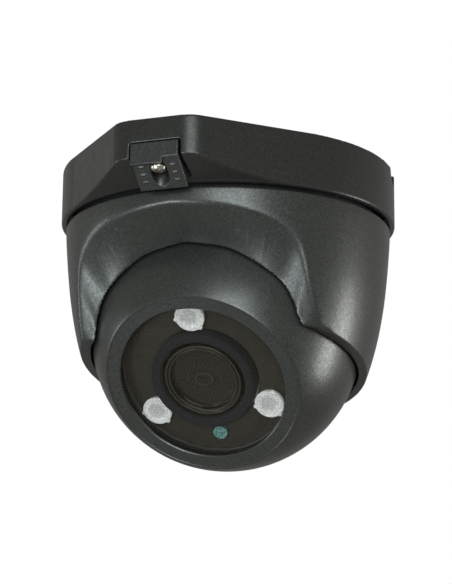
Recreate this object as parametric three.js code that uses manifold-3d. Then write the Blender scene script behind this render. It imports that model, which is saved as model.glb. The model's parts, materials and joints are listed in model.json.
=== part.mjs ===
// A dome-style (turret) security camera that hangs from a ceiling.
// Millimetres, +Z up. The origin is the centre of the ceiling plane, and the camera faces -Y.
import * as THREE from "three";
import { mergeVertices } from "three/addons/utils/BufferGeometryUtils.js";
import Module from "manifold-3d";

const wasm = await Module();
wasm.setup();

// ---- Driving dimensions ----------------------------------------------------------------------

const GAP = 0.3; // between pieces that touch on the real object

const BASE = {
  radius: 59.3, // round part of the plan outline
  bottom: -19.3, // lower rim
  noseFront: 71, // distance of the nose's flat front from the axis
  noseCorner: 10, // corner radius of the nose in plan
  noseSlope: 0.47, // rise of the nose's underside per mm outwards
  wallInside: 57, // inner wall radius
  roof: 3.2, // thickness against the ceiling
  cableHole: 11,
  ledge: { radius: 55.2, bottom: -16.5, top: -13.5 }, // carries the turning collar
  ceilingScrews: { count: 3, circle: 45, hole: 2.4, first: 60 },
  gasket: { outer: 54.4, inner: 50.6, groove: 1, depth: 0.7 },
  rimEdge: 0.45, // small bevel at the lower rim
};
const SIDE_NOTCH = { azimuth: 99, radius: 5, from: 47 }; // cable notch in the ceiling edge
const CLIP = {
  half: 9, // half width of its notch in the nose
  left: 8.6, // where the clip itself ends on each side
  right: 8.1,
  top: -8, // upper edge of that notch
  back: 60.3, // distance of the notch's back wall from the axis
  slopeFront: -13.5, // height of the sloped face at the front
  slopeBack: -21.5, // and at its lower edge
  lip: { right: 2.6, bottom: -15.6, depth: 1.4 },
  slot: { radius: 2.9, front: 67, back: 64.9, top: -14.9 },
};
const CLIP_SCREW = { y: -67, head: 2.75, headTop: -15.6, headHeight: 1.8, shank: 1.5, top: -2.6 };

const COVER = {
  top: -20.4,
  profile: [
    [57.6, -20.4],
    [57.4, -25.5],
    [56.5, -36.4],
    [55.2, -47.4],
    [53.2, -58.3],
    [50.9, -67],
    [48.9, -73],
    [46.4, -80],
    [45, -83],
  ], // outer radius and height
  rimHeight: -70.2, // height of the slanted lower rim on the axis
  rimSlope: -0.22, // its rise per mm towards the back
  recess: 52.4, // radius of the step that takes the ball retainer
  recessDepth: 4.6,
  boreFront: 30.6, // how far forward the bore is as wide as the ball
};
// The hood opening, seen from the front: half of its outer edge and of its inner edge, as x and z.
const HOOD = {
  outer: [
    [0, -24.9],
    [16, -26.2],
    [28, -28.8],
    [34.5, -31.4],
    [38.8, -35.6],
    [40.4, -41],
    [41.4, -49],
    [42.4, -58],
    [43, -63],
    [43.6, -73],
    [44, -90],
  ],
  inner: [
    [0, -35.1],
    [14, -37.8],
    [22, -41.9],
    [28, -46.2],
    [32, -50],
    [34.6, -55],
    [36, -60],
    [37.2, -64],
    [38, -70],
    [38.4, -80],
    [38.6, -96],
  ],
  steps: 22, // points along each half edge
  past: { inner: -0.35, outer: 1.6 }, // how far the cutter runs past both edges, as shares of the bevel
  apex: { inner: -20, outer: -120 }, // y where its ends close
};

const BALL = {
  radius: 47.5,
  wall: 2.5,
  height: -57.8, // of its centre
  face: 33, // flat front face, from the centre along the lens axis
  rear: -34, // flat rear face
  opening: 28.9, // radius of the window opening
  tilt: 42, // degrees that the lens axis points below the horizon
  seatGap: 0.7,
};
// Heights from here on are along the lens axis, from the centre of the ball.
const WINDOW = { radius: 31.2, front: 31.5, back: 30.1 };
const GASKET = { outer: 31, inner: 29.4, back: 28.7 };
const LED = { circle: 23.6, lens: 5.15, count: 3, back: 23.2, shoulder: 28.1, front: 29.2, lamp: 1.3 };
const MASK = { low: 26, high: 27, hole: 18.5 };
const PHOTOCELL = { y: -22.4, radius: 2.5, back: 23, shoulder: 27.6, front: 28.6 };
const SHROUD = { outer: 18.2, inner: 14.8, low: 23.1, high: 29.8 };
const LENS = {
  bell: 14.2, // outer radius at the front
  body: 11.2,
  rear: 8.2,
  glass: 11.3, // radius of the front element
  bore: 9.4,
  rearBore: 6,
  step: 3.6, // height where the body gives way to the thinner rear
  front: 29.3,
};

const LARGE = 48; // segments round large, medium, small and tiny parts
const BORE = 44; // unlike LARGE, so that no two edges lie in one line
const MEDIUM = 24;
const SMALL = 14;
const TINY = 8;
const HIDDEN = 28; // segments round the large pieces inside

// ---- Materials -------------------------------------------------------------------------------

function finish(color, roughness, metalness) {
  return new THREE.MeshStandardMaterial({ color, roughness, metalness });
}

const greyPaint = finish(0x484c4c, 0.42, 0.45);
const basePaint = finish(0x3a3d3d, 0.48, 0.4);
const nickel = finish(0xc9c4b8, 0.25, 1);
const steel = finish(0x8d8f91, 0.35, 1);
const smokedGlass = finish(0x1b1713, 0.05, 0);
const clearPlastic = finish(0xd8dcda, 0.15, 0);
const lensGlass = finish(0x16140f, 0.03, 0);
const blackPlastic = finish(0x17181a, 0.6, 0);
const maskPlastic = finish(0x2c2722, 0.7, 0);
const whitePlastic = finish(0xd9d8d2, 0.55, 0);
const foam = finish(0x23262e, 0.95, 0);
const rubber = finish(0x151515, 0.85, 0);
const teal = finish(0x3f7f78, 0.35, 0);
const circuitBoard = finish(0x1f4a35, 0.6, 0);
const whiteBoard = finish(0xcfd2cc, 0.5, 0);
const chip = finish(0x101113, 0.5, 0);
const ledYellow = finish(0xd9c04a, 0.4, 0);
const anodised = finish(0x1c1c1e, 0.4, 0.6);
const alloy = finish(0xa5a8aa, 0.45, 0.9);

// ---- Solids ----------------------------------------------------------------------------------

// The closed solid of a three.js geometry, with its faces pointing out.
function solid(geometry) {
  const bare = geometry.clone();
  bare.deleteAttribute("normal");
  bare.deleteAttribute("uv");
  const merged = mergeVertices(bare, 1e-4);
  const index = merged.index.array;
  const kept = [];
  for (let i = 0; i < index.length; i += 3) {
    const [a, b, c] = index.slice(i, i + 3);
    if (a !== b && b !== c && c !== a) kept.push([a, b, c]);
  }
  const build = (faces) =>
    new wasm.Manifold(
      new wasm.Mesh({
        numProp: 3,
        vertProperties: merged.attributes.position.array,
        triVerts: new Uint32Array(faces.flat()),
      }),
    );
  const made = build(kept);
  return made.volume() < 0 ? build(kept.map(([a, b, c]) => [a, c, b])) : made;
}

function geometryOf(body) {
  const mesh = body.getMesh();
  const positions = new Float32Array(mesh.numVert * 3);
  for (let i = 0; i < mesh.numVert; i++) {
    positions.set(mesh.vertProperties.subarray(i * mesh.numProp, i * mesh.numProp + 3), i * 3);
  }
  const geometry = new THREE.BufferGeometry();
  geometry.setAttribute("position", new THREE.BufferAttribute(positions, 3));
  geometry.setIndex(new THREE.BufferAttribute(mesh.triVerts, 1));
  return geometry;
}

// A turned solid: the profile's points are radius and height.
function turned(profile, segments) {
  const points = profile.map(([r, z]) => new THREE.Vector2(r, z));
  const closed = points[0].x === 0 && points.at(-1).x === 0 ? points : [...points, points[0].clone()];
  return solid(new THREE.LatheGeometry(closed, segments).rotateX(Math.PI / 2));
}

function ring(outer, inner, low, high, segments) {
  return turned([[outer, low], [outer, high], [inner, high], [inner, low]], segments);
}

function disc(radius, low, high, segments) {
  return turned([[0, low], [radius, low], [radius, high], [0, high]], segments);
}

function block(low, high) {
  const size = high.map((v, i) => v - low[i]);
  const centre = high.map((v, i) => (v + low[i]) / 2);
  return solid(new THREE.BoxGeometry(...size).translate(...centre));
}

function prism(outline, low, high) {
  const shape = new THREE.Shape(outline.map(([x, y]) => new THREE.Vector2(x, y)));
  const geometry = new THREE.ExtrudeGeometry(shape, { depth: high - low, bevelEnabled: false });
  return solid(geometry.translate(0, 0, low));
}

// Points of an arc, from one angle to another in degrees.
function arc(x, y, radius, from, to, steps) {
  return Array.from({ length: steps + 1 }, (_, i) => {
    const angle = THREE.MathUtils.degToRad(from + ((to - from) * i) / steps);
    return [x + radius * Math.cos(angle), y + radius * Math.sin(angle)];
  });
}

// Profile points on a sphere about the origin, from one height to another.
function spherePoints(radius, from, to, steps) {
  const start = Math.asin(from / radius);
  const end = Math.asin(to / radius);
  return Array.from({ length: steps + 1 }, (_, i) => {
    const angle = start + ((end - start) * i) / steps;
    return [radius * Math.cos(angle), radius * Math.sin(angle)];
  });
}

function smooth(points, steps) {
  const curve = new THREE.SplineCurve(points.map(([x, y]) => new THREE.Vector2(x, y)));
  return curve.getPoints(steps).map((p) => [p.x, p.y]);
}

// The place at a distance from the axis, at an azimuth in degrees: 0 is the front, 90 is +X.
function around(azimuth, distance) {
  const angle = THREE.MathUtils.degToRad(azimuth);
  return [distance * Math.sin(angle), -distance * Math.cos(angle)];
}

// Places evenly round a circle, from the azimuth of the first.
function screwPlaces(count, circle, first) {
  return Array.from({ length: count }, (_, i) => around(first + (360 / count) * i, circle));
}

const root = new THREE.Group();

function add(name, body, material, parent = root) {
  const mesh = new THREE.Mesh(geometryOf(body), material);
  mesh.name = name;
  parent.add(mesh);
  return mesh;
}

// ---- Mounting base ---------------------------------------------------------------------------

function baseOutline() {
  const { radius, noseFront, noseCorner } = BASE;
  const cornerY = noseFront - noseCorner;
  const cornerX = radius * Math.SQRT2 - noseFront - noseCorner * Math.tan(Math.PI / 8);
  return [
    ...arc(cornerX, -cornerY, noseCorner, -90, -45, 5),
    ...arc(0, 0, radius, -45, 225, 36),
    ...arc(-cornerX, -cornerY, noseCorner, -135, -90, 5),
  ];
}

// Height of the nose's underside at a distance from the axis.
function noseUnderside(distance) {
  return BASE.bottom + BASE.noseSlope * (distance - BASE.radius);
}

function baseBody() {
  const { radius, bottom, rimEdge, noseFront } = BASE;
  const reach = 1.3 * noseFront; // past the corners of the nose
  const underside = turned(
    [[0, bottom], [radius - rimEdge, bottom], [radius, bottom + rimEdge], [reach, noseUnderside(reach)],
      [reach, 0], [0, 0]],
    LARGE,
  );
  return prism(baseOutline(), bottom - 1, 0).intersect(underside);
}

function baseCavity() {
  const { wallInside, ledge, roof, bottom } = BASE;
  return turned(
    [[0, bottom - 1], [wallInside, bottom - 1], [wallInside, ledge.bottom], [ledge.radius, ledge.bottom],
      [ledge.radius, ledge.top], [wallInside, ledge.top], [wallInside, -roof], [0, -roof]],
    LARGE,
  );
}

function sideNotch() {
  const { azimuth, radius, from } = SIDE_NOTCH;
  const length = BASE.radius + 4 - from;
  const cutter = new THREE.CylinderGeometry(radius, radius, length, MEDIUM);
  cutter.translate(0, -(from + length / 2), 0);
  cutter.rotateZ(THREE.MathUtils.degToRad(azimuth));
  return solid(cutter);
}

function mountingBase() {
  let body = baseBody().subtract(baseCavity()).subtract(sideNotch());
  body = body.subtract(disc(BASE.cableHole, -BASE.roof - 1, 1, MEDIUM));
  const { count, circle, hole, first } = BASE.ceilingScrews;
  for (const [x, y] of screwPlaces(count, circle, first)) {
    body = body.subtract(disc(hole, -BASE.roof - 1, 1, SMALL).translate([x, y, 0]));
  }
  const { half, top, back } = CLIP;
  body = body.subtract(block([-half, -BASE.noseFront - 1, BASE.bottom - 2], [half, -back, top]));
  const threaded = disc(CLIP_SCREW.shank + GAP, top - 1, CLIP_SCREW.top + GAP, TINY);
  body = body.subtract(threaded.translate([0, CLIP_SCREW.y, 0]));
  const { outer, inner, groove } = BASE.gasket;
  return body.subtract(ring(outer, inner, -groove, 1, LARGE));
}

function ceilingGasket() {
  const { outer, inner, depth } = BASE.gasket;
  return ring(outer - GAP, inner + GAP, -depth, 0, LARGE).subtract(sideNotch());
}

add("mounting_base", mountingBase(), basePaint);
add("ceiling_gasket", ceilingGasket(), rubber);

// ---- Locking clip and its screw --------------------------------------------------------------

function lockClip() {
  const { left, right, top, back, slopeFront, slopeBack, lip, slot } = CLIP;
  const inner = back + GAP;
  const side = [
    [BASE.noseFront, slopeFront],
    [BASE.noseFront, top - GAP],
    [inner, top - GAP],
    [inner, slopeBack],
    [inner + 0.6, slopeBack],
  ];
  const turn = new THREE.Matrix4().makeBasis(
    new THREE.Vector3(0, -1, 0),
    new THREE.Vector3(0, 0, 1),
    new THREE.Vector3(-1, 0, 0),
  );
  const shape = new THREE.Shape(side.map(([x, y]) => new THREE.Vector2(x, y)));
  const extruded = new THREE.ExtrudeGeometry(shape, { depth: left + right, bevelEnabled: false });
  extruded.translate(0, 0, -right).applyMatrix4(turn);
  const lipBlock = block(
    [-left, -BASE.noseFront, lip.bottom],
    [lip.right, -BASE.noseFront + lip.depth, slopeFront + 0.5],
  );
  let body = solid(extruded).add(lipBlock);
  for (const [low, high, radius] of [
    [slopeBack - 1, slot.top, slot.radius],
    [slot.top - 1, top, CLIP_SCREW.shank + GAP],
  ]) {
    body = body.subtract(disc(radius, low, high, SMALL).translate([0, -slot.front, 0]));
  }
  const lower = disc(slot.radius, slopeBack - 1, slot.top, SMALL).translate([0, -slot.back, 0]);
  const middle = block(
    [-slot.radius, -slot.front, slopeBack - 1],
    [slot.radius, -slot.back, slot.top],
  );
  return body.subtract(lower).subtract(middle);
}

function clipScrew() {
  const { head, headTop, headHeight, shank, top } = CLIP_SCREW;
  const turnedBody = turned(
    [[0, headTop - headHeight], [head * 0.55, headTop - headHeight], [head * 0.9, headTop - headHeight * 0.6],
      [head, headTop - headHeight * 0.2], [head, headTop], [shank, headTop], [shank, top - 0.6],
      [shank - 0.5, top], [0, top]],
    SMALL,
  );
  let body = turnedBody;
  for (const [x, y] of [[1.7, 0.35], [0.35, 1.7]]) {
    body = body.subtract(block([-x, -y, headTop - headHeight - 1], [x, y, headTop - headHeight * 0.45]));
  }
  return body.translate([0, CLIP_SCREW.y, 0]);
}

add("lock_clip", lockClip(), greyPaint);
add("clip_screw", clipScrew(), nickel);

// ---- Turret: the cover that turns, and what holds the ball in it -----------------------------

// A cutter whose side is ruled between the hood's inner and outer edges, past both.
function hoodCutter() {
  const half = (points) => smooth(points, HOOD.steps);
  const whole = (points) => {
    const right = half(points);
    const left = right.slice(1).map(([x, z]) => [-x, z]).reverse();
    return [...left, ...right];
  };
  const ballFront = (x, z) => {
    const reach = BALL.radius + BALL.seatGap;
    return -Math.sqrt(Math.max(reach ** 2 - x ** 2 - (z - BALL.height) ** 2, 30));
  };
  const coverFront = (x, z) => {
    const clamped = Math.max(Math.min(z, COVER.top), -80);
    const at = COVER.profile.findIndex(([, height]) => height <= clamped);
    const [r1, z1] = COVER.profile[Math.max(at - 1, 0)];
    const [r2, z2] = COVER.profile[Math.max(at, 1)];
    const radius = r1 + ((r2 - r1) * (clamped - z1)) / (z2 - z1);
    return -Math.sqrt(Math.max(radius ** 2 - x ** 2, 100));
  };
  const inner = whole(HOOD.inner).map(([x, z]) => new THREE.Vector3(x, ballFront(x, z), z));
  const outer = whole(HOOD.outer).map(([x, z]) => new THREE.Vector3(x, coverFront(x, z), z));
  const rings = [HOOD.past.inner, HOOD.past.outer].map((share) =>
    inner.map((p, i) => p.clone().lerp(outer[i], share)),
  );
  const count = inner.length;
  const vertices = rings.flat();
  const faces = [];
  for (let a = 0; a < count; a++) {
    const b = (a + 1) % count;
    faces.push(a, b, b + count, a, b + count, a + count);
  }
  for (const [start, flip, apex] of [[0, true, HOOD.apex.inner], [count, false, HOOD.apex.outer]]) {
    vertices.push(new THREE.Vector3(0, apex, BALL.height));
    for (let i = 0; i < count; i++) {
      const [a, b] = [start + i, start + ((i + 1) % count)];
      faces.push(...(flip ? [vertices.length - 1, b, a] : [vertices.length - 1, a, b]));
    }
  }
  const geometry = new THREE.BufferGeometry().setFromPoints(vertices);
  geometry.setIndex(faces);
  return solid(geometry);
}

function coverRimCutter() {
  const angle = Math.atan(COVER.rimSlope);
  const geometry = new THREE.BoxGeometry(160, 160, 60).translate(0, 0, -30);
  geometry.rotateX(angle).translate(0, 0, COVER.rimHeight);
  return solid(geometry);
}

function coverBore() {
  const reach = BALL.radius + BALL.seatGap;
  const sphere = solid(new THREE.SphereGeometry(reach, BORE, 18).rotateX(Math.PI / 2));
  const shaft = disc(reach, 0, COVER.top - BALL.height + 1, BORE);
  const front = block([-60, -60, -1], [60, -COVER.boreFront, 60]);
  return sphere.add(shaft.subtract(front)).translate([0, 0, BALL.height]);
}

const COVER_SCREW = { count: 3, circle: 50.3, first: 60, head: 2.3, shank: 1.25, hole: 1.6, low: -31 };

function coverScrewPlaces() {
  return screwPlaces(COVER_SCREW.count, COVER_SCREW.circle, COVER_SCREW.first);
}

function turretCover() {
  const outer = smooth(COVER.profile, 9);
  const bottom = outer.at(-1)[1];
  let body = turned([[0, COVER.top], ...outer, [0, bottom]], LARGE);
  body = body.subtract(coverBore());
  body = body.subtract(disc(COVER.recess, COVER.top - COVER.recessDepth, COVER.top + 1, LARGE));
  const ringSeat = disc(RETAINER.inner, FRICTION.low - GAP, COVER.top, LARGE);
  body = body.subtract(ringSeat).subtract(hoodCutter()).subtract(coverRimCutter());
  return withHoles(body, COVER_SCREW.low, COVER.top);
}

const RETAINER = { outer: 52.1, inner: 41, lip: 33, low: -24.7, lipLow: -21.7, high: -20.7 };
const FRICTION = { low: -27, high: -22 };
const COLLAR = { inner: 41, tube: 53, outer: 54.9, flange: 56.5, low: -20.2, plate: -18.2, top: -10.8 };

// A body with the cover's screw holes through it between two heights.
function withHoles(body, low, high) {
  const hole = disc(COVER_SCREW.hole, low - 1, high + 1, TINY);
  return coverScrewPlaces().reduce((rest, [x, y]) => rest.subtract(hole.translate([x, y, 0])), body);
}

function ballRetainer() {
  const { outer, inner, lip, low, lipLow, high } = RETAINER;
  const body = turned(
    [[outer, low], [outer, high], [lip, high], [lip, lipLow], [inner, lipLow], [inner, low]],
    LARGE,
  );
  return withHoles(body, low, high);
}

function frictionRing() {
  const low = FRICTION.low - BALL.height;
  const high = FRICTION.high - BALL.height;
  const inner = spherePoints(BALL.radius + GAP, low, high, 3);
  const outer = RETAINER.inner - GAP;
  return turned([[outer, low], [outer, high], ...inner.reverse()], HIDDEN).translate([0, 0, BALL.height]);
}

function collar() {
  const { inner, tube, outer, flange, low, plate, top } = COLLAR;
  const ledgeTop = BASE.ledge.top + GAP;
  const body = turned(
    [[inner, low], [outer, low], [outer, ledgeTop], [flange, ledgeTop], [flange, top], [tube, top],
      [tube, plate], [inner, plate]],
    LARGE,
  );
  return withHoles(body, low, plate);
}

function coverScrew() {
  const seat = COLLAR.plate + GAP;
  const { head, shank, low } = COVER_SCREW;
  const body = turned(
    [[0, low], [shank, low], [shank, seat], [head, seat], [head, seat + 1.1], [head * 0.6, seat + 1.8],
      [0, seat + 1.8]],
    TINY,
  );
  return body.subtract(disc(0.8, seat + 0.8, seat + 3, 6));
}

add("turret_cover", turretCover(), greyPaint);
add("ball_retainer", ballRetainer(), blackPlastic);
add("friction_ring", frictionRing(), rubber);
add("turret_collar", collar(), blackPlastic);
coverScrewPlaces().forEach(([x, y], i) => {
  add("cover_screw_" + (i + 1), coverScrew(), steel).position.set(x, y, 0);
});

// ---- Ball: everything below is built along the lens axis, which is the group's own Z ----------

const ball = new THREE.Group();
ball.position.set(0, 0, BALL.height);
ball.rotation.x = THREE.MathUtils.degToRad(90 + BALL.tilt);
root.add(ball);

const insideRadius = BALL.radius - BALL.wall;
const joint = 0.2; // half of the gap between the two half shells

function frontShell() {
  const seat = WINDOW.front + GAP;
  const outer = spherePoints(BALL.radius, joint, BALL.face, 6);
  const inner = spherePoints(insideRadius, seat, joint, 3);
  return turned([...outer, [BALL.opening, BALL.face], [BALL.opening, seat], ...inner], LARGE);
}

const GLAND = { bore: 3, tube: 6, flange: 9.2, end: -43.6, nut: 10, seatOut: -34.3, seatIn: -31.2 };
const SHELL_SCREW = { count: 4, circle: 27.5, head: 2.6, shank: 1.4, hole: 1.7 };
const BOARD_FRAME = { outer: 30.8, inner: 23.5, low: -31.1, high: -24.2 };

function shellScrewPlaces() {
  return screwPlaces(SHELL_SCREW.count, SHELL_SCREW.circle, 45);
}

function rearShell() {
  const plate = BALL.rear + BALL.wall;
  const outer = spherePoints(BALL.radius, BALL.rear, -joint, 6);
  const inner = spherePoints(insideRadius, -joint, plate, 3);
  const hole = GLAND.tube + GAP;
  let body = turned([[hole, BALL.rear], ...outer, ...inner, [hole, plate]], LARGE);
  for (const [x, y] of shellScrewPlaces()) {
    body = body.subtract(disc(SHELL_SCREW.hole, BALL.rear - 1, plate + 1, TINY).translate([x, y, 0]));
  }
  return body;
}

function shellScrew() {
  const seat = BALL.rear - GAP;
  const { head, shank } = SHELL_SCREW;
  const body = turned(
    [[0, seat - 1.7], [head * 0.6, seat - 1.7], [head, seat - 0.9], [head, seat], [shank, seat],
      [shank, BOARD_FRAME.high - 1], [0, BOARD_FRAME.high - 1]],
    TINY,
  );
  return body.subtract(disc(0.9, seat - 3, seat - 0.7, 6));
}

function boardFrame() {
  const { outer, inner, low, high } = BOARD_FRAME;
  let body = ring(outer, inner, low, high, MEDIUM);
  for (const [x, y] of shellScrewPlaces()) {
    body = body.subtract(disc(SHELL_SCREW.hole, low - 1, high - 0.7, TINY).translate([x, y, 0]));
  }
  return body;
}

add("ball_front_shell", frontShell(), greyPaint, ball);
add("ball_rear_shell", rearShell(), greyPaint, ball);
add("shell_seal", ring(insideRadius - 0.6, insideRadius - 2.2, -1.1, 1.1, HIDDEN), rubber, ball);
shellScrewPlaces().forEach(([x, y], i) => {
  add("shell_screw_" + (i + 1), shellScrew(), steel, ball).position.set(x, y, 0);
});
add("board_frame", boardFrame(), blackPlastic, ball);

// Cable gland at the back of the ball: the ball turns about it.
function cableGland() {
  const { bore, tube, flange, end, seatOut, seatIn } = GLAND;
  return turned(
    [[bore, end], [5.2, end], [tube + 1, seatOut - 3.5], [flange, seatOut - 2.6], [flange, seatOut],
      [tube, seatOut], [tube, seatIn + 2.6], [bore, seatIn + 2.6]],
    SMALL,
  );
}

function glandNut() {
  const { nut, tube, seatIn } = GLAND;
  const hexagon = disc(nut, seatIn, seatIn + 2.4, 6);
  return hexagon.subtract(disc(tube + GAP, seatIn - 1, seatIn + 4, SMALL));
}

add("cable_gland", cableGland(), blackPlastic, ball);
add("gland_nut", glandNut(), blackPlastic, ball);

// ---- Window, light board and lamps -----------------------------------------------------------

const BRACKET = { outer: 31, wall: 29.3, low: 18.8, plate: 20.8, high: 28.4, hole: 13.6 };
const BOARD = { low: 21.1, high: 22.7 };

function ledPlaces() {
  return screwPlaces(LED.count, LED.circle, 180);
}

// A tapered lens with a flat collar, open at the back where its lamp sits.
function ledLens() {
  const { lens, back, shoulder, front } = LED;
  return turned(
    [[2.3, back], [3.4, back], [lens - GAP, shoulder], [lens, shoulder + 0.2], [lens, front - 0.2],
      [0, front], [0, back + 2.2], [1.6, back + 1.8]],
    SMALL,
  );
}

function ledMask() {
  const { low, high, hole } = MASK;
  let body = ring(BRACKET.wall - GAP, hole, low, high, HIDDEN);
  for (const [x, y] of ledPlaces()) {
    body = body.subtract(disc(LED.lens - GAP, low - 1, high + 1, MEDIUM).translate([x, y, 0]));
  }
  const cellHole = disc(PHOTOCELL.radius + 0.4, low - 1, high + 1, SMALL);
  return body.subtract(cellHole.translate([0, PHOTOCELL.y, 0]));
}

function photocell() {
  const { y, radius, back, shoulder, front } = PHOTOCELL;
  const profile = [[0, back], [radius, back], [radius, shoulder], [radius - 0.6, front - 0.2], [0, front]];
  return turned(profile, SMALL).translate([0, y, 0]);
}

function frontBracket() {
  const { outer, wall, low, plate, high, hole } = BRACKET;
  return turned(
    [[hole, low], [outer, low], [outer, high], [wall, high], [wall, plate], [hole, plate]],
    HIDDEN,
  );
}

add("window", disc(WINDOW.radius, WINDOW.back, WINDOW.front, LARGE), smokedGlass, ball);
add("window_gasket", ring(GASKET.outer, GASKET.inner, GASKET.back, WINDOW.back - GAP, HIDDEN), rubber, ball);
add("front_bracket", frontBracket(), alloy, ball);
add("led_board", ring(28.6, 14.6, BOARD.low, BOARD.high, HIDDEN), whiteBoard, ball);
add("led_mask", ledMask(), maskPlastic, ball);
ledPlaces().forEach(([x, y], i) => {
  const lamp = disc(LED.lamp, BOARD.high + GAP, LED.back + 1.4, TINY);
  add("led_lens_" + (i + 1), ledLens(), clearPlastic, ball).position.set(x, y, 0);
  add("led_lamp_" + (i + 1), lamp, ledYellow, ball).position.set(x, y, 0);
});
add("photocell", photocell(), teal, ball);
add("lens_shroud", ring(SHROUD.outer, SHROUD.inner, SHROUD.low, SHROUD.high, HIDDEN), foam, ball);

// ---- Lens ------------------------------------------------------------------------------------

function lensBarrel() {
  const { bell, body, rear, glass, bore, rearBore, step, front } = LENS;
  const outside = [[rear, -2.7], [rear, step], [body, step], [body, 21.8], [bell, 23.2], [bell, front - 1.3]];
  const seat = front - 2.1;
  const inside = [[bore, seat], [bore, step + 1.9], [rearBore, step + 1.9], [rearBore, -2.7]];
  const mouth = [[bell - 1.2, front], [glass + GAP, front], [glass + GAP, seat]];
  return turned([...outside, ...mouth, ...inside], HIDDEN);
}

function frontElement() {
  const crown = 1.3; // height of its curved front
  const edge = LENS.front - 1.1;
  const back = LENS.front - 1.8;
  const half = LENS.glass;
  const radius = (half ** 2 + crown ** 2) / (2 * crown);
  const centre = edge + crown - radius;
  const points = spherePoints(radius, edge - centre, radius, 3).map(([r, z]) => [r, z + centre]);
  points.at(-1)[0] = 0;
  return turned([[0, back], [half, back], ...points], HIDDEN);
}

// A ring round the barrel with a boss for its lock screw.
function adjustingRing(low, high) {
  const mid = (low + high) / 2;
  const boss = new THREE.CylinderGeometry(1.9, 1.9, 2.6, TINY);
  boss.translate(0, LENS.body + 2.8, 0).translate(0, 0, mid);
  const hole = new THREE.CylinderGeometry(1, 1, 12, TINY).translate(0, LENS.body + 4, 0);
  return ring(LENS.body + 2.2, LENS.body + GAP, low, high, MEDIUM)
    .add(solid(boss))
    .subtract(solid(hole.translate(0, 0, mid)));
}

function lockScrew(mid) {
  const start = LENS.body + 0.6;
  const shank = new THREE.CylinderGeometry(0.7, 0.7, 4.6, TINY).translate(0, start + 2.3, mid);
  const head = new THREE.CylinderGeometry(1.7, 1.7, 1.8, SMALL).translate(0, start + 4.9, mid);
  return solid(shank).add(solid(head));
}

const ZOOM = { low: 5.6, high: 9.6, turn: 30 };
const FOCUS = { low: 12.4, high: 16.4, turn: -40 };

function addAdjuster(name, { low, high, turn }) {
  const angle = THREE.MathUtils.degToRad(turn);
  add(name + "_ring", adjustingRing(low, high), anodised, ball).rotation.z = angle;
  add(name + "_lock_screw", lockScrew((low + high) / 2), steel, ball).rotation.z = angle;
}

add("lens_barrel", lensBarrel(), anodised, ball);
add("front_element", frontElement(), lensGlass, ball);
add("rear_element", disc(LENS.rearBore - 0.4, -1.8, 1.2, MEDIUM), lensGlass, ball);
addAdjuster("zoom", ZOOM);
addAdjuster("focus", FOCUS);

// ---- Sensor, filter and boards ---------------------------------------------------------------

const SENSOR_BOARD = { halfX: 19, halfY: 16, low: -10.4, high: -8.8 };
const MAIN_BOARD = { radius: 29, low: -23.8, high: -22.2 };
const POST = { x: 16.5, y: 13, radius: 2 };

// The housing on the sensor board that takes the barrel, with a slot for the sliding filter.
function lensMount() {
  const tube = ring(10.6, LENS.rear + GAP, -3.4, LENS.step - GAP, MEDIUM);
  const housing = block([-13, -9, -8.5], [13, 9, -3.2]);
  const light = disc(5, -9, -3, MEDIUM);
  const slide = block([-11.9, -5.4, -6.9], [14, 5.4, -5.1]);
  return housing.add(tube).subtract(light).subtract(slide);
}

function sensorBoard() {
  const { halfX, halfY, low, high } = SENSOR_BOARD;
  return block([-halfX, -halfY, low], [halfX, halfY, high]);
}

function corners(x, y) {
  return [[-x, -y], [x, -y], [x, y], [-x, y]];
}

add("lens_mount", lensMount(), blackPlastic, ball);
add("ir_cut_filter", block([-11.4, -5, -6.5], [3.4, 5, -5.5]), teal, ball);
add("sensor_board", sensorBoard(), circuitBoard, ball);
add("image_sensor", block([-3.6, -2.8, -8.5], [3.6, 2.8, -7.4]), chip, ball);
const post = disc(POST.radius, SENSOR_BOARD.high + GAP, BRACKET.low - GAP, TINY);
const spacer = disc(POST.radius, MAIN_BOARD.high + GAP, SENSOR_BOARD.low - GAP, TINY);
corners(POST.x, POST.y).forEach(([x, y], i) => {
  add("bracket_post_" + (i + 1), post, alloy, ball).position.set(x, y, 0);
  add("board_spacer_" + (i + 1), spacer, alloy, ball).position.set(x, y, 0);
});
add("main_board", disc(MAIN_BOARD.radius, MAIN_BOARD.low, MAIN_BOARD.high, HIDDEN), circuitBoard, ball);
add("processor", block([-7, -7, -21.9], [7, 7, -20.3]), chip, ball);
add("cable_connector", block([-6, -22, -27.4], [6, -16, -24.1]), whitePlastic, ball);

export default root;
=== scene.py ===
"""Looks of a dome-style security camera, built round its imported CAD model. Metres, +Z up, front -Y."""

import json
import math

import bpy
import numpy as np
from mathutils import Matrix, Vector
from mathutils.kdtree import KDTree

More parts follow.
